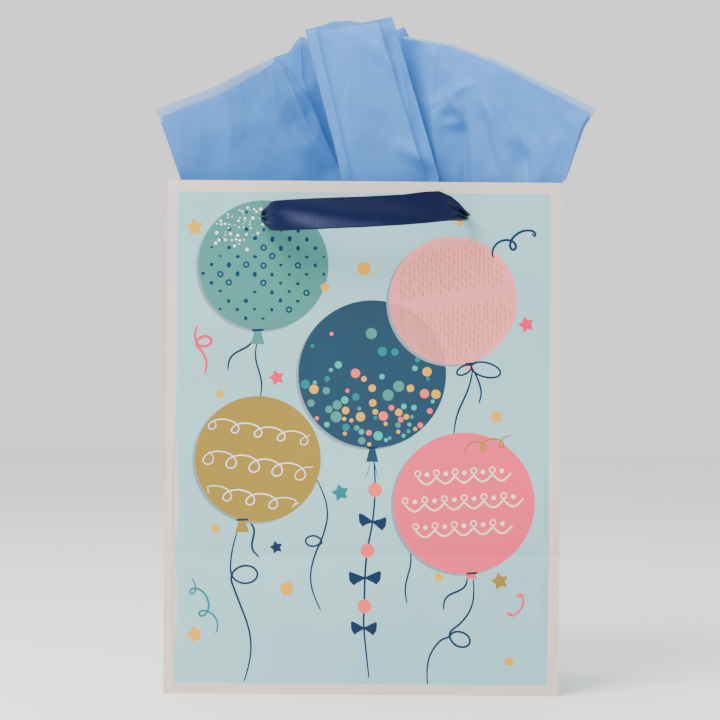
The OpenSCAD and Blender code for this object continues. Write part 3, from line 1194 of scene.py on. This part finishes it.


# Edges are (height, place across) and tops (share across, height), front layer then back layer, in
# millimetres. A crease is its foot, its head, its kind, its width and how far it stands out. The fold
# joins the layers up to "joined", and the back layer is painted paler, as painted light through one
# sheet, for "strip" below its top, up to "stripEnd".
leftSpec = {
    "flat": (0.22, 0.43), "foldSide": "right", "joined": 384, "strip": 9, "stripEnd": 0.8,
    "seed": 1, "wave": 1.0, "crumple": 0.5, "spread": 3.0,
    "left": [[(0, -112), (331, -127), (345, -132), (376, -142)],
             [(0, -112), (331, -126.5), (345, -132), (377, -143.5)]],
    "right": [[(0, -16), (336, -15), (344, -17), (362, -26), (384, -36), (402, -50), (414, -62)],
              [(0, -16), (336, -15), (344, -17), (362, -26), (384, -36), (402, -43.5), (424, -45)]],
    "top": [[(0, 371.5), (0.35, 386), (0.7, 402), (1, 413.5)],
            [(0, 376.5), (0.4, 394), (0.8, 414), (1, 421.5)]],
    "creases": [((-33, 326), (-61.5, 374), "drop", 14, 4.2), ((-44, 364), (-18, 338), "ridge", 5, 2.0),
                ((-128, 345), (-92, 392), "round", 12, 1.4), ((-110, 362), (-70, 372), "round", 9, 1.2),
                ((-62, 412), (-40, 372), "ridge", 3, 1.6)],
}
rightSpec = {
    "flat": (0.23, 0.43), "foldSide": "left", "joined": math.inf, "strip": 6, "stripEnd": 1.1,
    "seed": 3, "wave": 1.3, "crumple": 0.9, "spread": 3.4,
    "left": [[(0, 21), (330, 21), (380, 22), (434, 26)], [(0, 21), (330, 21), (380, 22), (431, 26)]],
    "right": [[(0, 112), (329.5, 124), (330.9, 134.5), (333, 138), (350, 143.5), (366, 149), (375, 155)],
              [(0, 112), (329.5, 123), (330.9, 133.5), (333, 137.5), (350, 143.5), (367, 150.5),
               (379, 158.5)]],
    "top": [[(0, 429), (0.25, 422.5), (0.5, 410), (0.75, 392.5), (1, 375)],
            [(0, 430.3), (0.25, 424), (0.5, 412), (0.75, 395.5), (1, 378.5)]],
    "creases": [((70.5, 322), (68.5, 374), "pleat", 17, 7.5), ((51, 424), (47.5, 384), "fold", 5, 2.0),
                ((47.5, 384), (53, 326), "ridge", 4, 2.0), ((47, 384), (74, 396), "ridge", 3.0, 3.4),
                ((110, 355), (82, 387), "pleat", 10, -3.6), ((112, 340), (110, 357), "pleat", 10, 3.6),
                ((90, 344), (81, 384), "pleat", 9, 3.6), ((52, 378), (63, 388), "round", 3.2, 3.0),
                ((60, 388), (68, 376), "round", 2.6, 2.8), ((53, 371), (66, 372), "round", 2.6, 2.4),
                ((96, 408), (140, 384), "ridge", 6, 1.6), ((118, 330), (138, 366), "drop", 14, 3.0)],
}
centreSpec = {
    "flat": (0.12, 0.44), "foldSide": "left", "joined": math.inf, "strip": 0, "stripEnd": 1.1,
    "seed": 5, "wave": 1.1, "crumple": 0.6, "spread": 1.6,
    "left": [[(0, -12), (332, -15), (352, -19), (400, -32), (437, -41)],
             [(0, -12), (332, -14), (352, -17), (400, -30), (436, -38)]],
    "right": [[(0, 46), (335, 49), (385, 34), (437, 18), (444, 16)],
              [(0, 46), (335, 47), (385, 32), (430, 18), (441, 15)]],
    "top": [[(0, 431.8), (0.15, 433.8), (0.33, 437), (0.5, 437.6), (0.65, 436.4), (0.8, 438), (1, 440.4)],
            [(0, 429.5), (0.3, 434), (0.6, 433), (1, 437)]],
    "creases": [((-33, 432), (-9, 334), "fold", 5, 2.2), ((-34, 431), (14, 437), "ridge", 3, -1.2),
                ((0, 424), (24, 404), "round", 5, 2.8), ((8, 436), (40, 334), "fold", 8, 3.6),
                ((24, 354), (44, 345), "round", 4, 3.0), ((24, 404), (30, 372), "ridge", 4, 2.0),
                ((-20, 392), (14, 380), "round", 9, 1.2)],
}
backSpec = {
    "flat": (0.41, 0.43), "foldSide": "left", "joined": math.inf, "strip": 0, "stripEnd": 1.1,
    "seed": 9, "wave": 1.4, "crumple": 1.0, "spread": 2.0,
    "left": [[(0, -95), (330, -109), (372, -113)], [(0, -95), (330, -107), (370, -111)]],
    "right": [[(0, 95), (330, 109), (378, 113)], [(0, 95), (330, 107), (376, 111)]],
    "top": [[(0, 372), (0.18, 404), (0.27, 421), (0.305, 432.5), (0.4, 424), (0.55, 434), (0.615, 439),
             (0.64, 428), (0.78, 405), (1, 378)],
            [(0, 370), (0.18, 400), (0.27, 419), (0.305, 429), (0.45, 420), (0.61, 433), (0.64, 424),
             (0.78, 402), (1, 376)]],
    "creases": [((-44, 430), (-40, 330), "fold", 8, 2.4), ((24, 436), (30, 330), "fold", 8, 2.4),
                ((-80, 400), (-60, 330), "round", 8, 1.8), ((80, 400), (60, 330), "round", 8, 1.8)],
}
sheets = [
    ("tissueLeft", "left_tissue", "tissue_left", leftSpec, fanned(1)),
    ("tissueRight", "right_tissue", "tissue_right", rightSpec, fanned(-1)),
    ("tissueCentreFront", "centre_front_tissue", "tissue_centre_front", centreSpec, straight(-33 * mm)),
    ("tissueBack", "back_tissue", "tissue_back", backSpec, straight(4 * mm)),
]
for name, body, node, spec, place in sheets:
    makeTissue(name, body, node, spec, place)
print("tissue folded")


# stage, lights and world

world = bpy.data.worlds.new("studio")
world.use_nodes = True
world.node_tree.nodes["Background"].inputs[0].default_value = (1, 1, 1, 1)
world.node_tree.nodes["Background"].inputs[1].default_value = 1.25
bpy.context.scene.world = world

floorMaterial = bpy.data.materials.new("floorCard")
floorMaterial.use_nodes = True
floorShader = floorMaterial.node_tree.nodes["Principled BSDF"]
floorShader.inputs["Base Color"].default_value = (0.93, 0.93, 0.93, 1)
floorShader.inputs["Roughness"].default_value = 0.7
floorHalf = 4
corners = [(x * floorHalf, y * floorHalf, 0) for x, y in ((-1, -1), (1, -1), (1, 1), (-1, 1))]
floor = makeObject("floor", corners, [(0, 1, 2, 3)], [floorMaterial])

lamps = [
    ("keyLight", (-0.6, -0.8, 1.25), 34, 0.8),
    ("fillLight", (1.5, -1.6, 0.7), 1, 1.4),
    ("topLight", (-0.2, 0.7, 1.5), 9, 1.0),
]
for name, place, power, size in lamps:
    lamp = bpy.data.objects.new(name, bpy.data.lights.new(name, "AREA"))
    lamp.data.energy = power
    lamp.data.size = size
    lamp.location = place
    aim = Vector((0, 0, 0.2)) - Vector(place)
    lamp.rotation_euler = aim.to_track_quat("-Z", "Y").to_euler()
    bpy.context.collection.objects.link(lamp)
print("stage lit")
